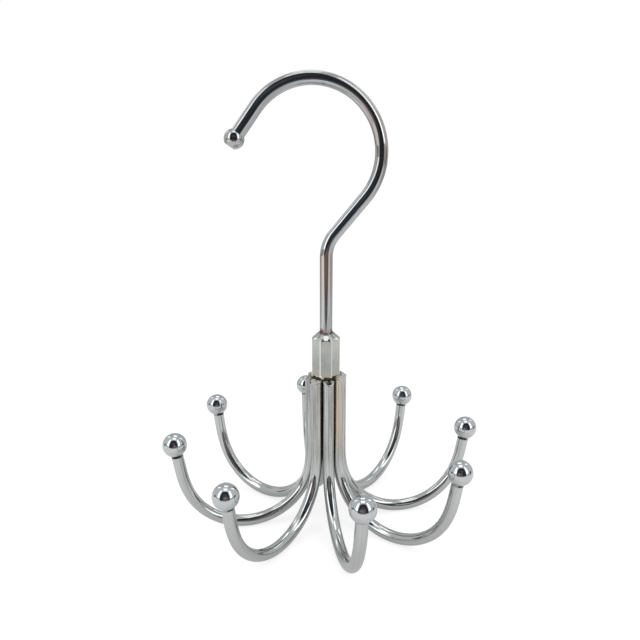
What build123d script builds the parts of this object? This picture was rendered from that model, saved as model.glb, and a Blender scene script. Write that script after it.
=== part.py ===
from build123d import *
from math import cos, radians, sin, sqrt
import os

# Belt hanger: eight bent wires stand in a ring and open out below into U hooks with ball tips.
# A top hook of heavier wire turns in a sleeve on the ring, so that the belts swing round freely.
# Millimetres, +Z up. The swivel axis is the Z axis, and the undersides of the U hooks touch Z = 0.
# The top hook lies in the XZ plane with its open side towards -X, and arm 1 points along +X.

# Arm wires, from the top of the straight stem to the end in the ball
arm_wire = 4.8
arm_stem = 31.6
arm_lead_radius = 55.0
arm_lead_angle = 8.3
arm_hook_radius = 26.8
arm_exit_radius = 45.0
arm_exit_angle = 11.6
arm_tip_lean = 9.5
arm_end_bevel = 0.3
stem_gap = 0.04

# Bent and set by hand: each arm's straight end, and its angle off its even place, about its own stem
arm_tip_lengths = (9.8, 9.4, 10.6, 10.3, 12.2, 10.1, 10.7, 11.7)
arm_twists = (-2.0, -3.0, -0.5, 1.5, 3.5, 1.0, 2.0, -1.5)

# Ball tips of the arms: how far a ball stands proud of its wire, and the flat round its socket
ball_shoulder = 2.5
ball_land = 0.5
socket_gap = 0.02

# Top hook, from the peened end of its shank to the end in the tip ball
hook_wire = 5.2
hook_shank = 44.5
hook_neck_radius = 13.6
hook_neck_angle = 40.5
hook_rise = 18.7
hook_loop_radius = 27.0
hook_loop_angle = 185.0
hook_tail = 13.6

# Ball on the end of the top hook, pressed flat at its far side
tip_shoulder = 1.25
tip_land = 0.35
tip_flat_radius = 2.0

# Washer on the lower end of the shank, held there by the peened head
washer_overhang = 1.4
washer_thickness = 1.5
washer_bevel = 0.2
press_gap = 0.02
peen_overhang = 0.6
peen_thickness = 0.8
peen_bevel = 0.35

# Eight-sided sleeve in which the shank turns
sleeve_facets = 8
sleeve_angle = -10.0
sleeve_height = 18.4
sleeve_wall = 1.45
sleeve_land = 0.45
sleeve_chamfer = 2.4
sleeve_mouth_bevel = 0.2
swivel_gap = 0.05
washer_side_gap = 0.3
washer_end_gap = 0.15

# Core pin in the middle of the ring, and its plug in the foot of the sleeve
core_length = 27.0
core_bevel = 0.6
plug_height = 5.8

# Braze between the wire ends and the foot of the sleeve
braze_thickness = 1.0
braze_spread = 0.7
braze_bulge_height = 0.25

# Overrun of every cut
overrun = 1.0

# Ring of stems, and the height of its top over the undersides of the U hooks
arm_count = len(arm_twists)
arm_pitch = 360 / arm_count
ring_radius = (arm_wire + stem_gap) / 2 / sin(radians(arm_pitch / 2))
arm_hook_angle = 180 - arm_tip_lean - arm_lead_angle - arm_exit_angle
arm_lead_drop = arm_lead_radius * sin(radians(arm_lead_angle))
arm_hook_drop = arm_hook_radius * (1 - sin(radians(arm_lead_angle)))
ring_top = arm_stem + arm_lead_drop + arm_hook_drop + arm_wire / 2

# Radii of the swivel, from the shank outwards
shank_radius = hook_wire / 2
bore_radius = shank_radius + swivel_gap
crown_radius = bore_radius + sleeve_land
washer_radius = shank_radius + washer_overhang
chamber_radius = washer_radius + washer_side_gap
sleeve_apothem = chamber_radius + sleeve_wall
sleeve_corner = sleeve_apothem / cos(radians(180 / sleeve_facets))

# Heights in the swivel, from the ring upwards
sleeve_foot = ring_top + braze_thickness
sleeve_top = sleeve_foot + sleeve_height
plug_top = ring_top + plug_height
peen_foot = plug_top + washer_end_gap
washer_foot = peen_foot + peen_thickness
washer_top = washer_foot + washer_thickness
chamber_top = washer_top + washer_end_gap

os.makedirs("parts", exist_ok=True)


def export(part, label):
    """Name a finished piece and write it to its own file."""
    part.label = label
    export_step(part, f"parts/{label}.step")


def seat_at_end(path):
    """The plane square to a wire at its end, with its Z axis along the wire."""
    side = Vector(0, 0, 1).cross(path % 1)
    return Plane(origin=path @ 1, x_dir=side, z_dir=path % 1)


def socketed_ball(seat, wire, shoulder, land, flat_radius):
    """A ball round the end of a wire, with a blind socket for it and, if asked, a flat far side."""
    radius = wire / 2 + shoulder
    socket_radius = wire / 2 + socket_gap
    mouth_depth = sqrt(radius**2 - (socket_radius + land) ** 2)
    with BuildPart(seat) as ball:
        Sphere(radius)
        with BuildSketch(seat.offset(-mouth_depth)):
            Circle(radius)
        extrude(amount=-radius, mode=Mode.SUBTRACT)
        with BuildSketch(seat):
            Circle(socket_radius)
        extrude(amount=-radius, mode=Mode.SUBTRACT)
        if flat_radius:
            with BuildSketch(seat.offset(sqrt(radius**2 - flat_radius**2))):
                Circle(radius)
            extrude(amount=radius, mode=Mode.SUBTRACT)
    return ball.part


# Arms: each wire runs down its stem, then out and up again, and carries a ball on its end
for index, (tip_length, twist) in enumerate(zip(arm_tip_lengths, arm_twists)):
    stem_angle = index * arm_pitch
    arm_heading = radians(stem_angle + twist)
    stem_place = Vector(ring_radius, 0, ring_top).rotate(Axis.Z, stem_angle)
    outwards = Vector(cos(arm_heading), sin(arm_heading), 0)
    across = Vector(sin(arm_heading), -cos(arm_heading), 0)
    with BuildLine(Plane(origin=stem_place, x_dir=outwards, z_dir=across)) as arm_path:
        stem = Line((0, 0), (0, -arm_stem))
        lead = JernArc(stem @ 1, stem % 1, arm_lead_radius, arm_lead_angle)
        hook = JernArc(lead @ 1, lead % 1, arm_hook_radius, arm_hook_angle)
        exit_arc = JernArc(hook @ 1, hook % 1, arm_exit_radius, arm_exit_angle)
        Line(exit_arc @ 1, exit_arc @ 1 + (exit_arc % 1) * tip_length)
    with BuildPart() as arm:
        with BuildSketch(Plane(origin=stem_place, z_dir=(0, 0, -1))):
            Circle(arm_wire / 2)
        sweep(path=arm_path.line)
        chamfer(arm.edges().sort_by(Axis.Z)[-1], arm_end_bevel)
    export(arm.part, f"arm_{index + 1}")
    arm_ball = socketed_ball(seat_at_end(arm_path.line), arm_wire, ball_shoulder, ball_land, 0)
    export(arm_ball, f"ball_{index + 1}")

# Core pin: fills the middle of the ring, and its wider plug closes the foot of the sleeve
with BuildPart() as core_pin:
    with BuildSketch(Plane.XY.offset(ring_top)):
        Circle(ring_radius - arm_wire / 2 - press_gap)
    extrude(amount=-core_length)
    chamfer(core_pin.edges().sort_by(Axis.Z)[0], core_bevel)
    with BuildSketch(Plane.XY.offset(ring_top)):
        Circle(chamber_radius - press_gap)
    extrude(amount=plug_height)
    chamfer(core_pin.edges().sort_by(Axis.Z)[-1], washer_bevel)
export(core_pin.part, "core_pin")

# Braze ring: metal that has run between the wire ends and the sleeve and bulges out round its foot
with BuildPart() as braze_ring:
    with BuildSketch(Plane.XZ) as braze_section:
        with BuildLine():
            braze_foot = Line((chamber_radius, ring_top), (sleeve_corner + braze_spread, ring_top))
            braze_face = ThreePointArc(
                braze_foot @ 1,
                (sleeve_corner + braze_spread / 2 + braze_bulge_height, ring_top + braze_thickness / 2),
                (sleeve_corner, sleeve_foot),
            )
            Polyline(braze_face @ 1, (chamber_radius, sleeve_foot), braze_foot @ 0)
        make_face()
    revolve(axis=Axis.Z)
export(braze_ring.part, "braze_ring")

# Swivel sleeve: an eight-sided bar turned to a cone at its crown, bored for the shank and the washer
with BuildPart() as swivel_sleeve:
    with BuildSketch(Plane.XY.offset(sleeve_foot)):
        RegularPolygon(
            sleeve_apothem,
            sleeve_facets,
            major_radius=False,
            rotation=sleeve_angle + 180 / sleeve_facets,
        )
    extrude(amount=sleeve_height)
    with BuildSketch(Plane.XZ) as crown_section:
        crown_slope = sleeve_chamfer / (sleeve_apothem - crown_radius)
        crown_drop = crown_slope * (sleeve_corner + overrun - crown_radius)
        Polygon(
            (0, sleeve_foot),
            (sleeve_corner + overrun, sleeve_foot),
            (sleeve_corner + overrun, sleeve_top - crown_drop),
            (crown_radius, sleeve_top),
            (0, sleeve_top),
            align=None,
        )
    revolve(axis=Axis.Z, mode=Mode.INTERSECT)
    with BuildSketch(Plane.XY.offset(sleeve_foot)):
        Circle(chamber_radius)
    extrude(amount=chamber_top - sleeve_foot, mode=Mode.SUBTRACT)
    with BuildSketch(Plane.XY.offset(chamber_top - overrun)):
        Circle(bore_radius)
    extrude(amount=sleeve_top - chamber_top + 2 * overrun, mode=Mode.SUBTRACT)
    chamfer(swivel_sleeve.edges().filter_by(GeomType.CIRCLE).sort_by(Axis.Z)[-1], sleeve_mouth_bevel)
export(swivel_sleeve.part, "swivel_sleeve")

# Retaining washer: a ring on the end of the shank that can't pass the bore of the sleeve
with BuildPart() as retaining_washer:
    with BuildSketch(Plane.XY.offset(washer_foot)):
        Circle(washer_radius)
        Circle(shank_radius + press_gap, mode=Mode.SUBTRACT)
    extrude(amount=washer_thickness)
    rims = retaining_washer.edges().filter_by(GeomType.CIRCLE).group_by(SortBy.LENGTH)[-1]
    chamfer(rims, washer_bevel)
export(retaining_washer.part, "retaining_washer")

# Top hook: one wire up from the peened head, over at the neck, round the loop and down to its tip
with BuildLine(Plane.XZ) as hook_path:
    shank = Line((0, peen_foot), (0, peen_foot + hook_shank))
    neck = JernArc(shank @ 1, shank % 1, hook_neck_radius, -hook_neck_angle)
    rise = Line(neck @ 1, neck @ 1 + (neck % 1) * hook_rise)
    loop = JernArc(rise @ 1, rise % 1, hook_loop_radius, hook_loop_angle)
    Line(loop @ 1, loop @ 1 + (loop % 1) * hook_tail)

with BuildPart() as top_hook:
    with BuildSketch(Plane.XY.offset(peen_foot)):
        Circle(shank_radius)
    sweep(path=hook_path.line)
    with BuildSketch(Plane.XY.offset(peen_foot)):
        Circle(shank_radius + peen_overhang)
    extrude(amount=peen_thickness)
    chamfer(top_hook.edges().sort_by(Axis.Z)[0], peen_bevel)
export(top_hook.part, "top_hook")

# Tip ball: blunts the free end of the top hook
tip_ball = socketed_ball(seat_at_end(hook_path.line), hook_wire, tip_shoulder, tip_land, tip_flat_radius)
export(tip_ball, "tip_ball")
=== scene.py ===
from math import atan2, cos, degrees, pi, radians, sin, sqrt, tan

import bpy
from mathutils import Matrix, Vector, noise


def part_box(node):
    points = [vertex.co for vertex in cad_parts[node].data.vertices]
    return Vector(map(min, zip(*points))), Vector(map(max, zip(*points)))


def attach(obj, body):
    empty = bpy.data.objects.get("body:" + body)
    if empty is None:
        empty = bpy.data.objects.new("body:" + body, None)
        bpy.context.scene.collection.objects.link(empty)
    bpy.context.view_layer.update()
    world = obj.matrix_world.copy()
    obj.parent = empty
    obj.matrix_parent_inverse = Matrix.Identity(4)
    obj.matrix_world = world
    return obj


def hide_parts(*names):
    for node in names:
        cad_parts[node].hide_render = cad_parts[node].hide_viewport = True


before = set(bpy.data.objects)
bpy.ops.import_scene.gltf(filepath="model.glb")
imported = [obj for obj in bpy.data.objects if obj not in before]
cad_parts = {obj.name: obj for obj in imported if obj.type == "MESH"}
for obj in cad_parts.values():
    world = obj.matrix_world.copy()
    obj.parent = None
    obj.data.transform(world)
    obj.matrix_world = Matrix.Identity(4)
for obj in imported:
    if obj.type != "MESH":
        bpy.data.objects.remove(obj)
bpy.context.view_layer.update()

# Arms: eight lengths of round drawn steel wire, each bent round formers into a stem and a U hook, then
# chrome plated. The stems stand in a ring, and their tops are cut off and ground away to the outside.
mm = 0.001
arm_wire = 4.8 * mm
arm_stem = 31.6 * mm
arm_lead_radius = 55.0 * mm
arm_lead_angle = 8.3
arm_hook_radius = 26.8 * mm
arm_exit_radius = 45.0 * mm
arm_exit_angle = 11.6
arm_tip_lean = 9.5
stem_gap = 0.04 * mm
ball_radius = 4.9 * mm
arm_count = 8
arm_pitch = 360 / arm_count
arm_hook_angle = 180 - arm_tip_lean - arm_lead_angle - arm_exit_angle
ring_radius = (arm_wire + stem_gap) / 2 / sin(radians(arm_pitch / 2))
ring_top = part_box("arm_1")[1].z
hook_start = arm_stem + arm_lead_radius * radians(arm_lead_angle)
hook_end = hook_start + arm_hook_radius * radians(arm_hook_angle)
wire_step = 0.5 * mm
wire_sides = 48
up = Vector((0, 0, 1))


def straight(path, length, step):
    """Adds stations along a straight run to a wire's path, a list of places and directions."""
    start, direction = path[-1]
    count = max(1, round(length / step))
    for index in range(count):
        path.append((start + direction * length * (index + 1) / count, direction))


def bend(path, radius, angle, axis, step):
    """Adds stations round an arc that turns the wire about an axis."""
    start, direction = path[-1]
    centre = start + axis.cross(direction) * radius * (1 if angle > 0 else -1)
    count = max(2, round(radius * radians(abs(angle)) / step))
    for index in range(count):
        turned = Matrix.Rotation(radians(angle) * (index + 1) / count, 3, axis)
        path.append((centre + turned @ (start - centre), turned @ direction))


def smooth(value, low, high):
    """0 below low, 1 above high, and an even rise between them."""
    share = min(1.0, max(0.0, (value - low) / (high - low)))
    return share * share * (3 - 2 * share)


def near(angle, middle, half_spread, full_share):
    """1 round a middle angle, and 0 from half its spread away, in degrees."""
    away = abs((angle - middle + 180) % 360 - 180)
    return 1 - smooth(away, full_share * half_spread, half_spread)


def level(angle):
    """The level direction at an angle round the axis, in radians."""
    return Vector((cos(angle), sin(angle), 0))


def ring_round(place, inwards, axis, sides, radius_at, along):
    """A ring round a wire, as pairs of a place and the same place while the wire was straight."""
    ring = []
    for side in range(sides):
        angle = 2 * pi * side / sides
        radius = radius_at(angle)
        ring.append((place + (inwards * cos(angle) + axis * sin(angle)) * radius,
                     Vector((radius * cos(angle), radius * sin(angle), along))))
    return ring


def wire_rings(path, axis, sides, skin, along):
    """Rings round a wire's path, from a length along it. skin gives the radius at a length and an angle."""
    rings = []
    for index, (place, direction) in enumerate(path):
        if index:
            along += (place - path[index - 1][0]).length
        rings.append(ring_round(place, axis.cross(direction), axis, sides,
                                lambda angle: skin(along, angle), along))
    return rings


def new_piece(name, places, faces, marks):
    """A smooth piece made of these places and faces. Each of its marks has a value for every place."""
    mesh = bpy.data.meshes.new(name)
    mesh.from_pydata(places, [], faces)
    mesh.polygons.foreach_set("use_smooth", [True] * len(faces))
    for mark, values in marks.items():
        layer = mesh.attributes.new(mark, "FLOAT", "POINT")
        layer.data.foreach_set("value", values)
    piece = bpy.data.objects.new(name, mesh)
    bpy.context.scene.collection.objects.link(piece)
    return piece


def skinned(name, rings, **marks):
    """A closed tube through rings of pairs, with marks worked out from each place on the straight wire."""
    sides = len(rings[0])
    drawn = [point[1] for ring in rings for point in ring]
    faces = []
    for row in range(len(rings) - 1):
        for side in range(sides):
            after = (side + 1) % sides
            faces.append((row * sides + side, row * sides + after,
                          (row + 1) * sides + after, (row + 1) * sides + side))
    faces.append(tuple(reversed(range(sides))))
    faces.append(tuple(range((len(rings) - 1) * sides, len(rings) * sides)))
    values = {mark: [function(place) for place in drawn] for mark, function in marks.items()}
    piece = new_piece(name, [point[0] for ring in rings for point in ring], faces, values)
    place_mark = piece.data.attributes.new("drawn", "FLOAT_VECTOR", "POINT")
    place_mark.data.foreach_set("vector", [value for place in drawn for value in place])
    return piece


def new_material(name):
    """A material, and its main shader."""
    material = bpy.data.materials.new(name)
    material.use_nodes = True
    return material, material.node_tree.nodes["Principled BSDF"]


def add_node(material, kind, inputs=None, **settings):
    """A node of a material. Each input is a value, or the socket that it is linked from."""
    tree = material.node_tree
    made = tree.nodes.new(kind)
    for key, value in settings.items():
        setattr(made, key, value)
    for key, value in (inputs or {}).items():
        if isinstance(value, bpy.types.NodeSocket):
            tree.links.new(value, made.inputs[key])
        else:
            made.inputs[key].default_value = value
    return made


def surface_mark(material, mark, output="Fac"):
    """A value or place that the mesh carries."""
    return add_node(material, "ShaderNodeAttribute", attribute_name=mark).outputs[output]


def vector_sum(material, operation, first, second=(0, 0, 0), output="Vector"):
    """Two places put together by one operation."""
    made = add_node(material, "ShaderNodeVectorMath", {0: first, 1: second}, operation=operation)
    return made.outputs[output]


def upwards(material, place):
    """The height of a place, which on a wire is the length along it."""
    return add_node(material, "ShaderNodeSeparateXYZ", {0: place}).outputs["Z"]


def grain(material, place, cell, detail=4.0):
    """Noise from 0 to 1, with cells of this size along x, y and z."""
    return add_node(material, "ShaderNodeTexNoise", {
        "Vector": vector_sum(material, "DIVIDE", place, cell),
        "Scale": 1.0, "Detail": detail, "Roughness": 0.6}).outputs["Fac"]


def spread(material, value, low, high, to_low=0.0, to_high=1.0):
    """Carries a value from one range to another, kept within it."""
    mapped = add_node(material, "ShaderNodeMapRange", {
        "Value": value, "From Min": low, "From Max": high, "To Min": to_low, "To Max": to_high},
        interpolation_type="SMOOTHSTEP")
    return mapped.outputs["Result"]


def sum_of(material, operation, first, second):
    """Two values put together by one operation."""
    return add_node(material, "ShaderNodeMath", {0: first, 1: second}, operation=operation).outputs[0]


def product(material, first, second):
    """One value times another."""
    return sum_of(material, "MULTIPLY", first, second)


def broken(material, mark, noisy, low, high, weakest):
    """A mark broken up by noise, down to a share of its strength."""
    return product(material, mark, spread(material, noisy, low, high, weakest))


def mixed(material, share, first, second):
    """Two colours mixed by a share."""
    mixer = add_node(material, "ShaderNodeMix", {0: share, 6: first, 7: second}, data_type="RGBA")
    return mixer.outputs[2]


def darker(colour, share):
    """A colour at a share of its brightness."""
    return tuple(channel * share for channel in colour[:3]) + (1.0,)


def raised(material, height, distance, below=None):
    """A normal bent by a height, on top of another."""
    bumped = add_node(material, "ShaderNodeBump", {"Height": height, "Distance": distance, "Strength": 1.0})
    if below:
        material.node_tree.links.new(below, bumped.inputs["Normal"])
    return bumped.outputs["Normal"]


def metal(material, shader, colour, rough, normal):
    """Makes a material a metal with this colour, roughness and normal."""
    for key, socket in (("Base Color", colour), ("Roughness", rough), ("Normal", normal)):
        material.node_tree.links.new(socket, shader.inputs[key])
    shader.inputs["Metallic"].default_value = 1.0
    return material


def plated_wire(name, chrome, streaked, tint, dirt_and_shade, dirt_and_shade_mark):
    """Chrome on drawn wire: lines along it, a soft waviness, hazy patches, and marks of heat and of dirt,
    which on the arms is soot with painted shade.
    streaked gives two lengths along the wire, and how dark its streaks are at each."""
    material, shader = new_material(name)
    place = surface_mark(material, "drawn", "Vector")
    lines = grain(material, place, (0.3 * mm, 0.3 * mm, 22 * mm), 3.0)
    waves = grain(material, place, (2.6 * mm, 2.6 * mm, 9 * mm), 2.0)
    haze = grain(material, place, (1.6 * mm, 1.6 * mm, 6 * mm), 5.0)
    specks = grain(material, place, (0.35 * mm, 0.35 * mm, 0.5 * mm))
    streaks = grain(material, place, (0.75 * mm, 0.75 * mm, 24 * mm), 3.0)
    heated = broken(material, surface_mark(material, "straw"), streaks, 0.3, 0.6, 0.6)
    # On the arms this dark mark is soot, with painted shade between the stems and a painted shadow under
    # each ball
    dirty = broken(material, surface_mark(material, dirt_and_shade_mark), specks, 0.34, 0.54, 0.35)
    streak = product(material, spread(material, streaks, 0.4, 0.62),
                     spread(material, upwards(material, place), *streaked))
    plain = mixed(material, streak, chrome, darker(chrome, 0.62))
    colour = mixed(material, dirty, mixed(material, heated, plain, tint), dirt_and_shade)
    rough = sum_of(material, "ADD", spread(material, haze, 0.35, 0.75, 0.04, 0.1),
                   product(material, dirty, 0.4))
    rough = sum_of(material, "ADD", rough, product(material, streak, 0.06))
    normal = raised(material, waves, 0.014 * mm)
    normal = raised(material, lines, 0.0012 * mm, normal)
    normal = raised(material, product(material, specks, dirty), 0.04 * mm, normal)
    return metal(material, shader, colour, rough, normal)


def ground_steel():
    """Bare steel at the cut tops: pale and scratched by the grinder, with soot from the brazing and painted
    shade where the stems touch.
    """
    material, shader = new_material("ground_steel")
    place = surface_mark(material, "drawn", "Vector")
    scratches = grain(material, place, (2.4 * mm, 0.14 * mm, 1.0 * mm))
    patches = grain(material, place, (1.1 * mm, 1.1 * mm, 1.1 * mm))
    # Soot on the top, and painted shade where the stems touch
    dirty = broken(material, surface_mark(material, "soot"), patches, 0.3, 0.5, 0.4)
    steel = mixed(material, spread(material, scratches, 0.3, 0.7),
                  (0.75, 0.735, 0.66, 1), (0.55, 0.53, 0.46, 1))
    colour = mixed(material, dirty, steel, (0.035, 0.028, 0.02, 1))
    rough = spread(material, scratches, 0.3, 0.7, 0.28, 0.42)
    normal = raised(material, scratches, 0.02 * mm, raised(material, patches, 0.08 * mm))
    return metal(material, shader, colour, rough, normal)


# The arms' dark mark holds soot, painted shade in the grooves between the stems, and a painted shadow line
# under each ball
arm_chrome = plated_wire("arm_chrome", (0.545, 0.56, 0.552, 1), (30 * mm, 42 * mm, 1.0, 0.2),
                         (0.54, 0.46, 0.355, 1), (0.05, 0.04, 0.032, 1), "soot")
cut_steel = ground_steel()
oval_share = 0.014
former_dent = 0.021 * mm
ripple = 0.006 * mm

# As cut by hand, arm 1 to 8: how far a stem stands up beside the sleeve, how steeply it falls outwards,
# and how sooty its top is
cut_lifts = (1.5, 0.9, 0.7, 1.1, 0.35, 0.5, 0.35, 1.35)
cut_slopes = (0.48, 0.35, 0.3, 0.4, 0.3, 0.5, 0.6, 0.38)
top_soots = (0.1, 0.4, 0.5, 0.3, 0.6, 0.25, 0.7, 0.1)

# The rings over a cut top: each one's share of the wire's radius, and its share of the way down to where
# the wire is whole again. The first rows of faces are bare steel.
cut_zone = 3.6 * mm
cut_rows = 7
cut_shares = [(share, 0.0) for share in (0.1, 0.3, 0.5, 0.68, 0.82, 0.92)] + [(0.98, 0.01)]
cut_shares += [(1.0, depth_share) for depth_share in (0.05, 0.12, 0.2, 0.3, 0.42, 0.6, 0.8)]
sunk_under_sleeve = 0.06 * mm
cut_roughness = 0.12 * mm

# The painted shadow line on the wire under each ball, arm 1 to 8: how dark it is, how far down the wire it
# comes in mm, and the middle of its darkest part round the wire and half that part's spread, in degrees
ball_shadow_lines = ((1.7, 0.85, 50, 70), (1.2, 0.7, 48, 100), (0.8, 0.7, 0, 100), (1.5, 0.8, -11, 60),
              (1.9, 0.9, -118, 80), (1.3, 0.8, -106, 40), (0.4, 0.5, 170, 60), (1.7, 0.9, 152, 35))
seat_zone = 6.0 * mm
seat_fine = 2.4 * mm
ball_reach = 4.0 * mm

# Where the torch has burnt a hole, by arm: how far outwards, across and down it lies, and its radius in mm
burnt_holes = {5: (0.2, -2.3, 1.2, 1.1), 7: (0.8, 0.0, 0.2, 1.5)}
hole_depth = 0.4 * mm

# How dark the painted shade is in the groove after each arm, from the one between arms 1 and 2 to the one
# between arms 8 and 1
groove_soots = (0.5, 0.7, 0.6, 0.5, 0.0, 1.0, 1.0, 0.15)

# Where the brazing heat has left a straw colour: (arm, angle round the ring, half its spread, how strong)
straw_places = ((8, 298, 25, 0.95), (7, 288, 10, 0.3), (6, 240, 14, 0.3), (1, 20, 26, 0.5),
                (3, 105, 22, 0.45))


def burnt(number, drawn):
    """1 in the middle of an arm's burnt hole, and 0 outside it."""
    if number not in burnt_holes:
        return 0.0
    *middle, radius = [value * mm for value in burnt_holes[number]]
    return 1 - smooth((drawn - Vector(middle)).length, 0.5 * radius, radius)


# The middle of each arm's ball, and the arm's heading
arm_ends = {}
for number in range(1, arm_count + 1):
    stem_angle = radians((number - 1) * arm_pitch)
    outwards = level(stem_angle)
    stem_place = outwards * ring_radius + up * ring_top
    ball_low, ball_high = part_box(f"ball_{number}")
    ball_centre = (ball_low + ball_high) / 2
    ball_centre.z = ball_high.z - ball_radius
    heading = atan2(ball_centre.y - stem_place.y, ball_centre.x - stem_place.x)
    arm_ends[number] = (ball_centre, heading)
    towards_tip = level(heading)
    across = towards_tip.cross(up)
    arm_path = [(stem_place - up * cut_zone, -up)]
    straight(arm_path, arm_stem - cut_zone, 2 * wire_step)
    bend(arm_path, arm_lead_radius, arm_lead_angle, across, wire_step)
    bend(arm_path, arm_hook_radius, arm_hook_angle, across, wire_step)
    bend(arm_path, arm_exit_radius, arm_exit_angle, across, wire_step)
    tip_length = (ball_centre.z - arm_path[-1][0].z) / cos(radians(arm_tip_lean))
    total_length = hook_end + arm_exit_radius * radians(arm_exit_angle) + tip_length
    straight(arm_path, tip_length - seat_zone, 2 * wire_step)
    straight(arm_path, seat_fine, wire_step / 3)
    straight(arm_path, seat_zone - seat_fine, 2 * wire_step)

    def arm_skin(length, angle):
        """The arm's radius: a little oval in its bend, dented inside it by the former, and rippled."""
        bent = smooth(length, hook_start - 4 * mm, hook_start + 6 * mm) \
            * (1 - smooth(length, hook_end - 6 * mm, hook_end + 6 * mm))
        pressed = bent * smooth(cos(angle), 0.35, 0.9) \
            * noise.noise(Vector((angle * 2.4, length / (1.5 * mm), number * 7.3)))
        wavy = noise.noise(Vector((cos(angle) * 0.8, sin(angle) * 0.8, length / (7 * mm) + number * 31.0)))
        oval = arm_wire / 2 * (1 - oval_share * bent * cos(2 * angle))
        return oval + former_dent * pressed + ripple * wavy

    # The cut top: a flat under the sleeve, and beside it a lip that falls away outwards
    lift, slope = cut_lifts[number - 1] * mm, cut_slopes[number - 1]
    rings = []
    for share, depth_share in cut_shares:
        ring = []
        for place, drawn in ring_round(stem_place, towards_tip, across, wire_sides,
                                       lambda angle: arm_wire / 2 * share, 0.0):
            outside = (place - stem_place).dot(outwards)
            rough_cut = cut_roughness * noise.noise(place / (0.7 * mm))
            beside = smooth(outside, -0.45 * mm, -0.05 * mm)
            cut = sunk_under_sleeve * (1 - beside) + beside * (slope * max(0.0, outside) - lift + rough_cut)
            drawn.z = cut + (cut_zone - cut) * depth_share
            sunk = hole_depth * burnt(number, drawn) * (1 - depth_share)
            ring.append((place - up * (drawn.z + sunk), drawn))
        rings.append(ring)
    rings += wire_rings(arm_path, across, wire_sides, arm_skin, cut_zone)

    def stem_soot(drawn):
        """Soot on the cut top and in a burnt hole, painted shade in the grooves between the stems, and a
        thin painted shadow line under the ball.
        """
        round_wire = atan2(drawn.y, drawn.x)
        turn = abs(round_wire)
        after = number - 1 if drawn.y < 0 else number - 2
        # Painted shade in the groove where this stem touches its neighbour, strongest in front
        groove = smooth(turn, radians(64), radians(90)) * (1 - smooth(drawn.z, arm_stem, arm_stem + 7 * mm))
        groove *= groove_soots[after % arm_count]
        patch = smooth(noise.noise(Vector((cos(turn) * 1.6, sin(turn) * 1.6, number * 9.1))), -0.35, 0.25)
        on_top = top_soots[number - 1] * (1 - smooth(drawn.z + lift, 0.4 * mm, 1.4 * mm))
        # Painted shadow: a thin dark line on the wire just under the ball
        dark, down, middle, half_spread = ball_shadow_lines[number - 1]
        darkest = near(degrees(round_wire), middle, half_spread, 0.6)
        from_ball = total_length - ball_reach - drawn.z
        shadow_under_ball = dark * (0.3 + 0.7 * darkest) * (1 - smooth(from_ball, down * mm, (down + 0.3) * mm))
        return max(on_top * (0.35 + 0.65 * patch), groove, shadow_under_ball, burnt(number, drawn))

    def stem_straw(drawn):
        """Straw colour from the brazing, strongest at the top and beside the front groove."""
        place = stem_place + towards_tip * drawn.x + across * drawn.y
        round_ring = degrees(atan2(place.y, place.x))
        strength = 0.0
        for arm_number, middle, half_spread, strong in straw_places:
            if arm_number == number:
                strength = max(strength, strong * near(round_ring, middle, half_spread, 0.35))
        return strength * (1 - smooth(drawn.z, 20 * mm, 40 * mm))

    arm = skinned(f"arm_{number}_bent_wire", rings, straw=stem_straw, soot=stem_soot)
    arm.data.materials.append(arm_chrome)
    arm.data.materials.append(cut_steel)
    for face in arm.data.polygons:
        if face.index < cut_rows * wire_sides or face.index == (len(rings) - 1) * wire_sides:
            face.material_index = 1
    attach(arm, "arm_cluster")
    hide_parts(f"arm_{number}")

# Core pin: a turned steel pin pressed in the middle of the ring, whose wider plug closes the sleeve's
# foot. It is left as it came off the lathe, and shows only between the stems, from below.
def object_place(material):
    """The place on the piece itself."""
    return add_node(material, "ShaderNodeTexCoord").outputs["Object"]


def turned_steel():
    """Bare turned steel: fine rings from the lathe, and a dull, oily film."""
    material, shader = new_material("inner_steel")
    steel = (0.42, 0.4, 0.38, 1)
    place = object_place(material)
    lathe = grain(material, place, (40 * mm, 40 * mm, 0.12 * mm), 3.0)
    darkening = grain(material, place, (1.4 * mm, 1.4 * mm, 1.8 * mm), 5.0)
    colour = mixed(material, spread(material, darkening, 0.35, 0.7), steel, darker(steel, 0.6))
    rough = spread(material, darkening, 0.3, 0.7, 0.3, 0.5)
    normal = raised(material, darkening, 0.01 * mm, raised(material, lathe, 0.006 * mm))
    return metal(material, shader, colour, rough, normal)


inner_steel = turned_steel()
core_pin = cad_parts["core_pin"]
core_pin.data.materials.clear()
core_pin.data.materials.append(inner_steel)

# Balls: turned from bar with a blind hole, faced off round it, pushed over the wire's end and brazed
# there before plating. They are polished brighter than the wire, and a thin dark line shows at the seat.
socket_radius = arm_wire / 2 + 0.02 * mm
ball_land = 0.5 * mm
socket_depth_shown = 1.2 * mm
ball_edge = 0.1 * mm
flat_hollow = 0.04 * mm
ball_sides = 96
ball_rows = 60


def ball_profile(radius, socket, land, flat_radius):
    """From inside the socket, round its faced mouth, and over the ball to its far side."""
    mouth = -sqrt(radius**2 - (socket + land) ** 2)
    points = [(socket, mouth + socket_depth_shown), (socket, mouth + 2.5 * ball_edge),
              (socket, mouth + ball_edge), (socket + ball_edge / 2, mouth + ball_edge / 4),
              (socket + ball_edge, mouth), (socket + land * 0.5, mouth), (socket + land * 0.75, mouth)]
    far = sqrt(radius**2 - flat_radius**2)
    first = atan2(mouth, socket + land) + ball_edge / radius
    last = atan2(far, flat_radius)
    for row in range(ball_rows + 1):
        angle = first + (last - first) * row / ball_rows
        points.append((max(radius * cos(angle), 0.02 * mm), radius * sin(angle)))
    if flat_radius:
        for share in (0.96, 0.85, 0.5, 0.05):
            points.append((flat_radius * share, far + flat_hollow * (1 - share)))
    return points


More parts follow.
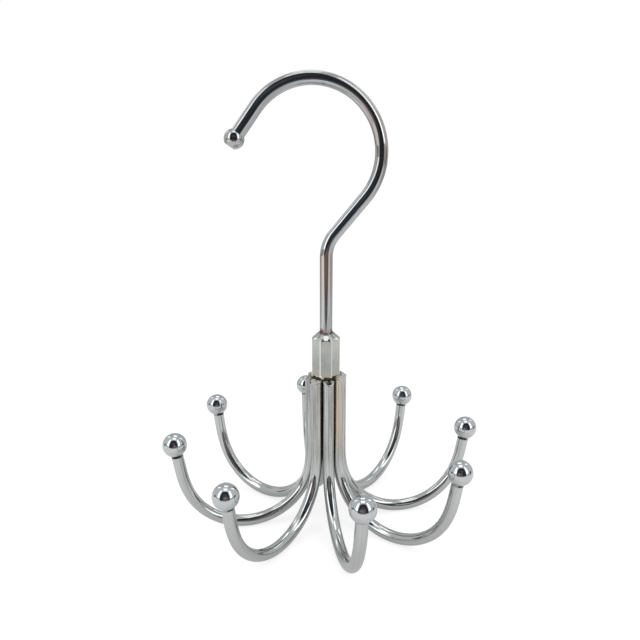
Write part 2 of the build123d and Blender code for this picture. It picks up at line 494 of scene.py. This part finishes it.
def seated_ball(name, profile, place, direction, chrome):
    """A ball turned to a profile of (radius, height), on a wire's end, and dark just inside its mouth."""
    first, second, outwards = direction.to_track_quat("Z", "Y").to_matrix().col
    rings = [ring_round(place + outwards * height, first, second, ball_sides, lambda angle: radius, height)
             for radius, height in profile]
    mouth = min(height for radius, height in profile)
    ball = skinned(name, rings, seat=lambda drawn: 1 - smooth(drawn.z - mouth, 0.02 * mm, 0.12 * mm))
    ball.data.materials.append(chrome)
    return ball


def bright_ball(name, chrome):
    """Polished chrome on a turned ball: almost a mirror, with faint buffing lines and a dark seat."""
    material, shader = new_material(name)
    place = surface_mark(material, "drawn", "Vector")
    buffing = grain(material, place, (0.9 * mm, 0.25 * mm, 0.9 * mm))
    haze = grain(material, place, (2.2 * mm, 2.2 * mm, 2.2 * mm))
    specks = grain(material, place, (0.3 * mm, 0.3 * mm, 0.3 * mm))
    dirty = broken(material, surface_mark(material, "seat"), specks, 0.3, 0.55, 0.35)
    plain = mixed(material, spread(material, haze, 0.35, 0.7), chrome, darker(chrome, 0.95))
    colour = mixed(material, dirty, plain, (0.04, 0.035, 0.03, 1))
    rough = sum_of(material, "ADD", spread(material, haze, 0.35, 0.75, 0.02, 0.06),
                   product(material, dirty, 0.5))
    normal = raised(material, buffing, 0.0009 * mm, raised(material, haze, 0.006 * mm))
    return metal(material, shader, colour, rough, normal)


ball_chrome = bright_ball("ball_chrome", (0.562, 0.588, 0.598, 1))
arm_ball_profile = ball_profile(ball_radius, socket_radius, ball_land, 0)
lean = radians(arm_tip_lean)
for number, (ball_centre, heading) in arm_ends.items():
    wire_end = level(heading) * sin(lean) + up * cos(lean)
    ball = seated_ball(f"ball_{number}_tip", arm_ball_profile, ball_centre, wire_end, ball_chrome)
    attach(ball, "arm_cluster")
    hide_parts(f"ball_{number}")

# Braze: brass that has run in between the wire tops and the foot of the sleeve. It lies there as a
# thin, uneven bead, burnt dark in front and clean at the sides, with pale brass painted as glints on its
# upper edge.
sleeve_foot, sleeve_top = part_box("swivel_sleeve")[0].z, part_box("swivel_sleeve")[1].z
bead_radius = 5.8 * mm
bead_width = 0.5 * mm
bead_height = 0.45 * mm
bead_drop = 0.34 * mm
bead_sides = 24
bead_steps = 288

# Where round the bead the brass is clean and stands higher: (angle, half its spread, how much)
clean_places = ((246, 8, 0.8), (330, 30, 1.0), (176, 24, 1.0), (100, 24, 0.7))


def clean_brass(angle):
    """How clean the bead is at an angle round it, in radians."""
    return max(much * near(degrees(angle), middle, half_spread, 0.6)
               for middle, half_spread, much in clean_places)


def bead_rings():
    """Rings round the bead, which sinks into the grooves between the stems."""
    rings = []
    for step in range(bead_steps):
        angle = 2 * pi * step / bead_steps
        outwards = level(angle)
        groove = (1 - cos(arm_count * angle)) / 2
        lump = noise.noise(outwards * 4.3)
        fine = noise.noise(outwards * 13.0 + Vector((3, 1, 2)))
        radius = bead_radius + (0.3 * lump + 0.12 * fine) * mm
        clean = clean_brass(angle)
        width = bead_width * (1 + 0.28 * lump + 0.2 * fine)
        height = bead_height * (1 + 0.3 * fine + 0.35 * groove + 0.3 * clean)
        middle = sleeve_foot - bead_drop + (0.15 * lump + 0.3 * clean - 0.3 * groove * (1 - clean)) * mm
        ring = []
        for side in range(bead_sides):
            turn = 2 * pi * side / bead_sides
            pit = 1 + 0.1 * noise.noise(outwards * 30.0 + level(turn) * 2.5)
            place = outwards * (radius + width * cos(turn) * pit)
            place.z = middle + height * sin(turn) * pit
            ring.append(place)
        rings.append(ring)
    return rings


def larger(material, first, second):
    """The larger of two values."""
    return sum_of(material, "MAXIMUM", first, second)


def burnt_brass():
    """Brass braze: burnt brown and black, or clean and dull, with pale brass painted as glints on its upper
    edge.
    """
    material, shader = new_material("burnt_brass")
    place = object_place(material)
    clean = surface_mark(material, "clean")
    patches = grain(material, place, (1.1 * mm, 1.1 * mm, 0.6 * mm), 5.0)
    pits = grain(material, place, (0.28 * mm, 0.28 * mm, 0.28 * mm), 5.0)
    # Painted glints: pale brass in patches, more of them towards the bead's upper edge
    upper = spread(material, upwards(material, place), sleeve_foot - 0.15 * mm, sleeve_foot + 0.1 * mm,
                   -0.12, 0.12)
    pale_brass_glint = spread(material, sum_of(material, "ADD", patches, upper), 0.58, 0.66)
    pale_brass_glint = broken(material, pale_brass_glint, clean, 0.0, 1.0, 0.15)
    dark = mixed(material, spread(material, pits, 0.35, 0.65),
                 (0.016, 0.012, 0.009, 1), (0.07, 0.045, 0.028, 1))
    dull = mixed(material, spread(material, pits, 0.3, 0.7), (0.5, 0.48, 0.4, 1), (0.3, 0.28, 0.22, 1))
    colour = mixed(material, pale_brass_glint, mixed(material, clean, dark, dull), (0.88, 0.82, 0.7, 1))
    shiny = larger(material, pale_brass_glint, clean)
    rough = spread(material, shiny, 0.0, 1.0, 0.6, 0.28)
    metal(material, shader, colour, rough, raised(material, pits, 0.09 * mm))
    material.node_tree.links.new(spread(material, shiny, 0.0, 1.0, 0.55), shader.inputs["Metallic"])
    return material


def looped(name, rings, **marks):
    """A closed ring, of which each section is a loop of places, with marks given for each section."""
    sides = len(rings[0])
    faces = []
    for row in range(len(rings)):
        ahead = (row + 1) % len(rings)
        for side in range(sides):
            after = (side + 1) % sides
            faces.append((row * sides + side, ahead * sides + side,
                          ahead * sides + after, row * sides + after))
    values = {mark: [value for value in along for _ in range(sides)] for mark, along in marks.items()}
    return new_piece(name, [place for ring in rings for place in ring], faces, values)


bead = looped("braze_bead", bead_rings(),
              clean=[clean_brass(2 * pi * step / bead_steps) for step in range(bead_steps)])
bead.data.materials.append(burnt_brass())
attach(bead, "arm_cluster")
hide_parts("braze_ring")

# Swivel sleeve: a length of eight-sided bar, its crown turned to a cone and its inside bored out for
# the shank and washer. It is plated like the wire but not polished, so it stays satin.
sleeve_facets = 8
sleeve_angle = -10.0
sleeve_wall = 1.45 * mm
sleeve_land = 0.45 * mm
sleeve_chamfer = 2.4 * mm
sleeve_mouth_bevel = 0.2 * mm
sleeve_edge = 0.4 * mm
crown_edge = 0.11 * mm
bore_edge = 0.1 * mm
sleeve_facet_points = 9
sleeve_corner_points = 7
hook_wire = 5.2 * mm
swivel_gap = 0.05 * mm
washer_overhang = 1.4 * mm
washer_side_gap = 0.3 * mm
chamber_rise = 8.4 * mm
bore_radius = hook_wire / 2 + swivel_gap
crown_radius = bore_radius + sleeve_land
chamber_radius = hook_wire / 2 + washer_overhang + washer_side_gap
sleeve_apothem = chamber_radius + sleeve_wall
chamber_top = ring_top + chamber_rise
crown_foot = sleeve_top - sleeve_chamfer


def sleeve_outline():
    """Places round the eight-sided bar, with its edges slightly broken."""
    half_side = (sleeve_apothem - sleeve_edge) * tan(radians(180 / sleeve_facets))
    places = []
    for facet in range(sleeve_facets):
        facet_angle = radians(sleeve_angle + facet * 360 / sleeve_facets)
        normal = level(facet_angle)
        along = up.cross(normal)
        for point in range(sleeve_facet_points):
            share = -cos(pi * point / (sleeve_facet_points - 1))
            places.append(normal * sleeve_apothem + along * half_side * share)
        corner = normal * (sleeve_apothem - sleeve_edge) + along * half_side
        for point in range(1, sleeve_corner_points + 1):
            turn = facet_angle + radians(360 / sleeve_facets) * point / (sleeve_corner_points + 1)
            places.append(corner + level(turn) * sleeve_edge)
    return places


def sleeve_rings():
    """Loops up the wall, over the cone, and down through the bore, one for each place in the outline."""
    cone_rise = sleeve_chamfer / (sleeve_apothem - crown_radius)
    mouth = bore_radius + sleeve_mouth_bevel
    inside = [(crown_radius - 0.03 * mm, sleeve_top), (mouth + 0.3 * sleeve_mouth_bevel, sleeve_top),
              (mouth, sleeve_top - 0.01 * mm),
              (bore_radius + sleeve_mouth_bevel / 3, sleeve_top - 0.6 * sleeve_mouth_bevel),
              (bore_radius, sleeve_top - 1.2 * sleeve_mouth_bevel), (bore_radius, sleeve_top - 2 * mm),
              (bore_radius, chamber_top + bore_edge), (bore_radius + bore_edge, chamber_top),
              (chamber_radius - bore_edge, chamber_top), (chamber_radius, chamber_top - bore_edge),
              (chamber_radius, sleeve_foot + bore_edge), (chamber_radius + bore_edge, sleeve_foot)]
    rings = []
    for place in sleeve_outline():
        reach = place.length
        edge_height = sleeve_top - cone_rise * (reach - crown_radius)
        wall = edge_height - sleeve_foot
        section = [(reach - sleeve_edge, sleeve_foot),
                   (reach - sleeve_edge / 3, sleeve_foot + sleeve_edge / 3),
                   (reach, sleeve_foot + sleeve_edge), (reach, sleeve_foot + 2.5 * sleeve_edge)]
        section += [(reach, sleeve_foot + wall * share) for share in (0.15, 0.3, 0.45, 0.6, 0.75, 0.9)]
        section += [(reach - crown_edge * inwards, edge_height + crown_edge * rise)
                    for inwards, rise in ((0, -3), (0, -1.2), (0, -0.8), (0.12, -0.3), (0.4, 0.12))]
        cone = reach - crown_radius
        section += [(reach - cone * share, edge_height + cone_rise * cone * share)
                    for share in (0.06, 0.1, 0.14, 0.3, 0.5, 0.7, 0.86, 0.96)]
        outwards = place / reach
        rings.append([outwards * radius + up * height for radius, height in section + inside])
    return rings


def side_patch(material, place, ring_angle, half_angle, low, high):
    """1 on the side that faces an angle round the axis, between two heights, with soft edges."""
    flat = vector_sum(material, "NORMALIZE", vector_sum(material, "MULTIPLY", place, (1, 1, 0)))
    facing = vector_sum(material, "DOT_PRODUCT", flat, level(radians(ring_angle)), "Value")
    around = spread(material, facing, cos(radians(half_angle)), cos(radians(half_angle * 0.4)))
    from_middle = sum_of(material, "SUBTRACT", upwards(material, place), (low + high) / 2)
    away = sum_of(material, "ABSOLUTE", from_middle, 0.0)
    half = (high - low) / 2
    return product(material, around, spread(material, away, half * 0.6, half, 1.0, 0.0))


# Marks on the sleeve, each with its (angle, half its spread, lowest and highest in mm over the foot):
# a painted dark reflection and rust at the mouth, painted dark spots under the crown, painted shade that
# dims the highlights on the crown's sides, and pale braze on the foot, painted bright as glints
painted_dark_reflection = (0.1, 0.11, 0.095, 1)
rust = (0.145, 0.082, 0.065, 1)
painted_dark_spot = (0.03, 0.03, 0.03, 1)
painted_dimming_grey = (0.3, 0.3, 0.295, 1)
pale_braze_glint = (0.95, 0.88, 0.8, 1)
sleeve_marks = ((260, 24, 17.65, 19, painted_dark_reflection), (221, 17, 17.8, 19, rust), (304, 22, 17.7, 19, rust),
                (60, 26, 17.7, 19, rust), (247, 6, 15.8, 16.7, painted_dark_spot), (273, 6, 15.8, 16.7, painted_dark_spot),
                (208, 26, 16.5, 18.4, painted_dimming_grey), (312, 26, 16.5, 18.4, painted_dimming_grey),
                (222, 9, -0.3, 0.9, pale_braze_glint), (239, 8, -0.4, 1.1, pale_braze_glint), (286, 11, -0.3, 0.9, pale_braze_glint),
                (20, 12, -0.3, 0.9, pale_braze_glint), (150, 9, -0.3, 0.9, pale_braze_glint))


def satin_chrome():
    """Satin chrome: fine lines up the facets, lathe rings on the cone, brown marks at the mouth, painted
    highlights on its edges, and the painted reflections, shade and glints of its marks.
    """
    material, shader = new_material("satin_chrome")
    place = object_place(material)
    height = upwards(material, place)
    brushed = grain(material, place, (0.12 * mm, 0.12 * mm, 5 * mm))
    lathe = grain(material, place, (60 * mm, 60 * mm, 0.16 * mm), 3.0)
    haze = grain(material, place, (2.4 * mm, 2.4 * mm, 4 * mm))
    specks = grain(material, place, (0.45 * mm, 0.45 * mm, 0.35 * mm))
    crown = spread(material, height, crown_foot - 0.3 * mm, crown_foot + 0.5 * mm)
    mouth = spread(material, height, sleeve_top - 0.95 * mm, sleeve_top - 0.3 * mm)
    foot = spread(material, height, sleeve_foot + 0.2 * mm, sleeve_foot + 1.6 * mm, 1.0, 0.0)
    # Brown and rougher towards the mouth, in specks
    brown_at_mouth = product(material, mouth, spread(material, specks, 0.35, 0.58, 0.05, 0.5))
    stained = product(material, foot, spread(material, specks, 0.42, 0.62, 0.0, 0.5))
    # Darker towards the foot, and broken by haze
    darkening = spread(material, height, sleeve_top - 13 * mm, sleeve_top - 3 * mm, 1.0, 0.0)
    darkening = broken(material, darkening, haze, 0.25, 0.6, 0.75)
    colour = mixed(material, darkening, (0.585, 0.595, 0.57, 1), (0.385, 0.398, 0.382, 1))
    # Olive towards the foot
    olive_below = spread(material, height, sleeve_foot + 1 * mm, sleeve_foot + 4.5 * mm, 0.9, 0.0)
    colour = mixed(material, olive_below, colour, (0.42, 0.405, 0.34, 1))
    # Painted highlight: a pale colour along the bar's edges, below the crown
    edge = product(material, surface_mark(material, "edge"),
                   spread(material, height, crown_foot - 0.4 * mm, crown_foot, 1.0, 0.0))
    colour = mixed(material, edge, colour, (0.95, 0.95, 0.91, 1))
    colour = mixed(material, brown_at_mouth, colour, (0.12, 0.085, 0.065, 1))
    colour = mixed(material, stained, colour, (0.2, 0.16, 0.1, 1))
    for ring_angle, half_angle, low, high, mark_colour in sleeve_marks:
        mark = side_patch(material, place, ring_angle, half_angle,
                          sleeve_foot + low * mm, sleeve_foot + high * mm)
        mark = broken(material, mark, specks, 0.3, 0.5, 0.55)
        colour = mixed(material, mark, colour, mark_colour)
    satin = spread(material, haze, 0.3, 0.7, 0.16, 0.22)
    worn = larger(material, crown, edge)
    rough = add_node(material, "ShaderNodeMix", {0: worn, 2: satin, 3: 0.21}, data_type="FLOAT")
    rough = sum_of(material, "ADD", rough.outputs[0], product(material, brown_at_mouth, 0.4))
    lines = add_node(material, "ShaderNodeMix", {0: crown, 2: brushed, 3: lathe}, data_type="FLOAT")
    normal = raised(material, haze, 0.01 * mm, raised(material, lines.outputs[0], 0.005 * mm))
    return metal(material, shader, colour, rough, normal)


# How strong the painted highlight on each edge of the bar is
edge_wears = (0.7, 0.9, 0.6, 0.8, 0.7, 1.0, 0.5, 0.8)
edge_marks = []
for facet in range(sleeve_facets):
    before, after = edge_wears[facet - 1], edge_wears[facet]
    edge_marks += [0.7 * before] + [0.0] * (sleeve_facet_points - 2) + [0.7 * after]
    edge_marks += [after] * sleeve_corner_points
sleeve = looped("sleeve_eight_sided", sleeve_rings(), edge=edge_marks)
sleeve.data.materials.append(satin_chrome())
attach(sleeve, "arm_cluster")
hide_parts("swivel_sleeve")

# Retaining washer: a steel ring on the shank's end, which can't pass the bore of the sleeve. It sits
# inside the sleeve, and stays as it was stamped.
retaining_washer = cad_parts["retaining_washer"]
retaining_washer.data.materials.clear()
retaining_washer.data.materials.append(inner_steel)

# Top hook: one heavier wire, straight in its shank, cranked over at the neck and rolled into the loop.
# Its lower end is peened over under the washer, and a brown line of rust has formed where it leaves
# the sleeve.
peen_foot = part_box("top_hook")[0].z
peen_radius = hook_wire / 2 + 0.6 * mm
peen_thickness = 0.8 * mm
hook_shank = 44.5 * mm
hook_neck_radius = 13.6 * mm
hook_neck_angle = 40.5
hook_rise = 18.7 * mm
hook_loop_radius = 27.0 * mm
hook_loop_angle = 185.0
hook_tail = 13.6 * mm
hook_axis = Vector((0, -1, 0))
hook_sides = 64
over_peen = peen_thickness + 0.4 * mm
hook_path = [(up * (peen_foot + over_peen), up)]
straight(hook_path, hook_shank - over_peen, 1.2 * mm)
bend(hook_path, hook_neck_radius, -hook_neck_angle, hook_axis, wire_step)
straight(hook_path, hook_rise, 2 * wire_step)
bend(hook_path, hook_loop_radius, hook_loop_angle, hook_axis, wire_step)
straight(hook_path, hook_tail, 2 * wire_step)
loop_start = hook_shank + hook_neck_radius * radians(hook_neck_angle) + hook_rise
loop_end = loop_start + hook_loop_radius * radians(hook_loop_angle)
mouth_length = sleeve_top - peen_foot
flattened_share = 0.045


def hook_skin(length, angle):
    """The top hook's radius: pressed a little flat towards its tip, and rippled where it was rolled."""
    flattened = smooth(length, loop_start + 45 * mm, loop_end - 10 * mm)
    wavy = noise.noise(Vector((cos(angle) * 0.9, sin(angle) * 0.9, length / (8 * mm) + 77.0)))
    return hook_wire / 2 * (1 + flattened_share * flattened * cos(2 * angle)) + ripple * wavy


peen_profile = ((0.1 * mm, 0), (1.5 * mm, 0), (peen_radius - 0.4 * mm, 0.02 * mm),
                (peen_radius - 0.2 * mm, 0.1 * mm), (peen_radius, 0.35 * mm), (peen_radius, 0.7 * mm),
                (peen_radius - 0.1 * mm, peen_thickness), (hook_wire / 2, peen_thickness),
                (hook_wire / 2, peen_thickness + 0.15 * mm))
hook_rings = [ring_round(up * (peen_foot + height), hook_axis.cross(up), hook_axis, hook_sides,
                         lambda angle: radius, height) for radius, height in peen_profile]
hook_rings += wire_rings(hook_path, hook_axis, hook_sides, hook_skin, over_peen)


def mouth_rust(drawn):
    """Rust on the shank where it leaves the sleeve, heavier on two sides."""
    above = drawn.z - mouth_length
    angle = atan2(drawn.y, drawn.x)
    sides = 0.3 + 1.2 * smooth(abs(cos(angle)), 0.35, 0.8)
    return sides * smooth(above, -1.2 * mm, -0.4 * mm) * (1 - smooth(above, 0.6 * mm, 1.7 * mm))


def hook_heat(drawn):
    """Warm colour on the upper half of the shank, and a little at the start of the loop."""
    on_shank = smooth(drawn.z, 26 * mm, 38 * mm) * (1 - smooth(drawn.z, 43 * mm, 50 * mm))
    on_loop = smooth(drawn.z, 80 * mm, 92 * mm) * (1 - smooth(drawn.z, 100 * mm, 125 * mm))
    return 0.5 * on_shank + 0.3 * on_loop


hook_chrome = plated_wire("hook_chrome", (0.49, 0.507, 0.513, 1), (50 * mm, 85 * mm, 0.2, 0.75),
                          (0.58, 0.43, 0.36, 1), (0.19, 0.075, 0.05, 1), "rust")
top_hook = skinned("top_hook_bent_wire", hook_rings, rust=mouth_rust, straw=hook_heat)
top_hook.data.materials.append(hook_chrome)
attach(top_hook, "hanging_hook")
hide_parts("top_hook")

# Tip ball: a small ball on the free end of the top hook, pressed flat at its far side so that it
# doesn't catch in clothes. It is turned like the others, but its plating is a little duller.
tip_radius = hook_wire / 2 + 1.25 * mm
tip_socket_radius = hook_wire / 2 + 0.12 * mm
tip_land = 0.25 * mm
tip_flat_radius = 2.0 * mm
tip_place, tip_direction = hook_path[-1]
tip_profile = ball_profile(tip_radius, tip_socket_radius, tip_land, tip_flat_radius)
tip_ball = seated_ball("tip_ball_pressed", tip_profile, tip_place, tip_direction,
                       bright_ball("tip_chrome", (0.46, 0.465, 0.465, 1)))
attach(tip_ball, "hanging_hook")
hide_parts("tip_ball")

# Camera: at the photograph's height and angle, a little above the hanger and looking down on it.
camera_azimuth = -9.89
camera_distance = 261.8 * mm
camera_rise = 91.82 * mm
camera_pitch = 14.345
camera_yaw = 1.07
camera_roll = 0.439
photo_width = 640
focal_pixels = 660
centre_pixel_x, centre_pixel_y = 338, 319
camera_data = bpy.data.cameras.new("camera")
camera_data.sensor_width = 36.0
camera_data.lens = focal_pixels / photo_width * camera_data.sensor_width
camera_data.shift_x = (photo_width / 2 - centre_pixel_x) / photo_width
camera_data.shift_y = (centre_pixel_y - photo_width / 2) / photo_width
camera_data.clip_start = 0.01
camera = bpy.data.objects.new("camera", camera_data)
bpy.context.scene.collection.objects.link(camera)
bpy.context.scene.camera = camera
rightwards = level(radians(camera_azimuth))
towards_camera = rightwards.cross(up)
camera.matrix_world = (
    Matrix.Translation(towards_camera * camera_distance + up * (ring_top + camera_rise))
    @ Matrix.Rotation(radians(camera_azimuth - camera_yaw), 4, "Z")
    @ Matrix.Rotation(radians(90 - camera_pitch), 4, "X")
    @ Matrix.Rotation(radians(camera_roll), 4, "Z")
)

# Studio: the hanger stands on a white sheet in a tall light tent. Its walls and roof are grey and white,
# and it is open in front, where the chrome shows the dark room and the brown table beyond the sheet.
white = (1, 1, 1, 1)
world = bpy.data.worlds.new("white_room")
bpy.context.scene.world = world
world.use_nodes = True
background = world.node_tree.nodes["Background"]
background.inputs["Color"].default_value = white
world_light = 0.72
world_path = add_node(world, "ShaderNodeLightPath")
world_seen = larger(world, world_path.outputs["Is Camera Ray"], world_path.outputs["Is Glossy Ray"])
world_seen = larger(world, world_seen, world_path.outputs["Is Transmission Ray"])
world_strength = spread(world, world_seen, 0.0, 1.0, world_light)
world.node_tree.links.new(world_strength, background.inputs["Strength"])


def stand(sideways, forward, height):
    """A place in the studio, by its distance to the camera's right, towards the camera, and up."""
    return rightwards * sideways + towards_camera * forward + up * height


def oblong(left, right, low, high):
    """The four corners of an oblong."""
    return [(left, low), (right, low), (right, high), (left, high)]


def stage_sheet(name, corners):
    """A flat sheet of the studio, with an empty material."""
    sheet = new_piece(name, corners, [tuple(range(len(corners)))], {})
    material, shader = new_material(name)
    material.node_tree.nodes.remove(shader)
    sheet.data.materials.append(material)
    return sheet, material


def glow_of(material, strength, colour):
    """A glow of this strength, a value or a socket, and this colour."""
    return add_node(material, "ShaderNodeEmission", {"Color": colour, "Strength": strength}).outputs[0]


def show(material, surface):
    """Shows a surface as the whole of a material."""
    material.node_tree.links.new(surface, material.node_tree.nodes["Material Output"].inputs["Surface"])


floor_half = 6.0
paper_white = 0.72
paper_grey = (0.4, 0.4, 0.4, 1)
floor_corners = oblong(-floor_half, floor_half, -floor_half, floor_half)
floor = stage_sheet("floor_sheet", [(x, y, 0) for x, y in floor_corners])[1]
floor_path = add_node(floor, "ShaderNodeLightPath")
floor_place = object_place(floor)
reach = vector_sum(floor, "LENGTH", floor_place, output="Value")
ahead = vector_sum(floor, "DOT_PRODUCT", floor_place, towards_camera, "Value")
# As the metal sees it, the sheet's glow has a painted shadow of the hanger in its middle, and painted
# fall-off of the light behind the hanger and far from it
painted_floor_light = spread(floor, reach, 0.02, 0.12, 0.3, 0.58)
painted_floor_light = product(floor, painted_floor_light, spread(floor, ahead, -0.5, -0.06, 0.15))
painted_floor_light = product(floor, painted_floor_light, spread(floor, reach, 0.16, 0.4, 1.0, 0.55))
in_metal = product(floor, floor_path.outputs["Is Glossy Ray"], painted_floor_light)
in_view = larger(floor, floor_path.outputs["Is Camera Ray"], floor_path.outputs["Is Transmission Ray"])
paper_glow = sum_of(floor, "ADD", in_metal, product(floor, in_view, paper_white))
paper = add_node(floor, "ShaderNodeBsdfDiffuse", {"Color": paper_grey})
show(floor, add_node(floor, "ShaderNodeAddShader", {
    0: paper.outputs[0], 1: glow_of(floor, paper_glow, white)}).outputs[0])


def tent_card(name, corners, colour, strength, patch=None, cell=None, centre=None, half=None):
    """A sheet that shows only in the metal: it is out of the picture and gives no light of its own.
    It may have patches of a second colour, all over it or round a centre."""
    card, material = stage_sheet(name, corners)
    if patch:
        place = object_place(material)
        cloud = spread(material, grain(material, place, (cell, cell, cell)), 0.4, 0.6, 0.3)
        if centre:
            away = vector_sum(material, "DIVIDE", vector_sum(material, "SUBTRACT", place, centre), half)
            away = vector_sum(material, "LENGTH", away, output="Value")
            cloud = product(material, cloud, spread(material, away, 0.0, 1.0, 1.0, 0.0))
        colour = mixed(material, cloud, colour, patch)
    show(material, glow_of(material, strength, colour))
    card.visible_camera = False
    card.visible_diffuse = False
    card.visible_shadow = False


def facing_card(name, forward, half, low, high, *look):
    """A card that faces the camera's way, at one distance in front of the hanger or behind it."""
    outline = oblong(-half, half, low, high)
    tent_card(name, [stand(sideways, forward, height) for sideways, height in outline], *look)


def wall_card(name, sideways, outline, *look):
    """A card on a side wall, through (forward, height) corners."""
    tent_card(name, [stand(sideways, forward, height) for forward, height in outline], *look)


def level_card(name, height, outline, *look):
    """A level card, through (sideways, forward) corners."""
    tent_card(name, [stand(sideways, forward, height) for sideways, forward in outline], *look)


tent_half = 1.2
tent_height = 3.7
open_half = 1.07
room_height = 3.1
layer = 0.01
ground_height = 0.003
sheet_height = 0.002
edge_distance = 0.33
front_distance = 0.2
wall_grey = (0.96, 0.98, 1.0, 1)
facing_card("back_wall", -tent_half, tent_half, 0.0, tent_height, wall_grey, 0.62)
facing_card("back_light", layer - tent_half, 0.45, 1.6, 3.1, white, 2.3)
facing_card("front_edge", tent_half + layer, tent_half, 0.0, tent_height, wall_grey, 0.9)
facing_card("dark_room", tent_half, open_half, 0.0, room_height, (0.029, 0.034, 0.042, 1), 1.0,
            (0.13, 0.134, 0.146, 1), 0.2, stand(0.0, tent_half, 0.9), (0.7, 1.0, 0.9))
facing_card("brown_edge", edge_distance, 0.12, 0.004, 0.075, (0.07, 0.064, 0.07, 1), 1.0,
            (0.36, 0.28, 0.275, 1), 0.05, stand(0, edge_distance, 0.04), (0.2, 0.2, 0.055))
facing_card("brown_front", front_distance, 0.08, 0.05, 0.13, (0.05, 0.045, 0.048, 1), 1.0,
            (0.5, 0.36, 0.35, 1), 0.04, stand(0, front_distance, 0.08), (0.11, 0.2, 0.055))
for hand, side, shade in (("left", -1, 0.56), ("right", 1, 0.5)):
    lit = side * (tent_half - layer)
    wall_card(f"{hand}_wall", side * tent_half, oblong(-tent_half, tent_half, 0, tent_height),
              wall_grey, 0.76)
    wall_card(f"{hand}_lit_panel", lit, [(0.58, 0.26), (tent_half, 0.26), (0.72, 2.35), (0.16, 2.35)],
              white, 2.3)
    wall_card(f"{hand}_shade", lit, [(0.25, 0), (tent_half, 0), (tent_half, 0.25), (0.3, 0.25)],
              wall_grey, shade)
    wall_card(f"{hand}_lit_patch", lit, [(-1.15, 0.85), (-0.75, 0.85), (-0.72, 1.7), (-1.05, 1.7)],
              white, 1.9)
    wall_card(f"{hand}_gap", side * (tent_half - 2 * layer),
              [(-0.16, 0), (0.2, 0), (0.14, 0.25), (-0.08, 0.22)], (0.04, 0.035, 0.04, 1), 1.0)
level_card("roof", tent_height, oblong(-tent_half, tent_half, -tent_half, tent_half), wall_grey, 0.8)
level_card("roof_light", tent_height - layer, [(-0.9, -0.4), (0.9, -0.4), (0.8, 0.75), (-0.8, 0.75)],
           white, 2.0)
level_card("brown_table", ground_height, [(-0.05, 0.3), (0.05, 0.3), (0.3, 0.44), (-0.3, 0.44)],
           (0.14, 0.1, 0.095, 1), 1.0, (0.24, 0.17, 0.155, 1), 0.12)
level_card("grey_ground", ground_height, [
    (-0.3, 0.44), (0.3, 0.44), (0.42, 0.5), (0.6, 0.68), (-0.6, 0.68), (-0.42, 0.5)],
    (0.22, 0.24, 0.265, 1), 1.0)
level_card("dark_ground", ground_height, [
    (-0.6, 0.68), (0.6, 0.68), (open_half, tent_half), (-open_half, tent_half)],
    (0.1, 0.115, 0.135, 1), 1.0)
level_card("left_bright_sheet", sheet_height, [
    (-0.22, 0.27), (-0.9, 1.15), (-tent_half, tent_half), (-tent_half, 0.15), (-0.3, 0.04)],
    (1, 0.99, 0.95, 1), 1.2)
level_card("right_bright_sheet", sheet_height, [
    (0.22, 0.27), (0.9, 1.15), (tent_half, tent_half), (tent_half, 0.36), (0.4, 0.12)],
    (1, 0.96, 0.95, 1), 0.95)
level_card("right_brown_strip", ground_height, [
    (0.42, 0.1), (tent_half, 0.3), (tent_half, 0.1), (0.44, 0.03)], (0.26, 0.19, 0.17, 1), 1.0)
lamp_aim = up * 0.08


def soft_lamp(name, sideways, forward, height, width, tall, radiance):
    """A soft rectangular lamp that faces the hanger. Neither the camera nor the metal sees it."""
    lamp_data = bpy.data.lights.new(name, "AREA")
    lamp_data.shape = "RECTANGLE"
    lamp_data.size = width
    lamp_data.size_y = tall
    lamp_data.energy = radiance * pi * width * tall
    lamp = bpy.data.objects.new(name, lamp_data)
    bpy.context.scene.collection.objects.link(lamp)
    lamp.location = stand(sideways, forward, height)
    lamp.rotation_euler = (lamp_aim - lamp.location).to_track_quat("-Z", "Y").to_euler()
    lamp.visible_camera = False
    lamp.visible_glossy = False


soft_lamp("left_lamp", -1.15, 0.7, 0.9, 0.6, 1.6, 1.6)
soft_lamp("right_lamp", 1.15, 0.7, 0.9, 0.6, 1.6, 1.6)
soft_lamp("top_lamp", 0.0, 0.1, 1.8, 0.9, 0.7, 1.2)

bpy.context.scene.view_settings.view_transform = "Standard"

bpy.context.view_layer.update()
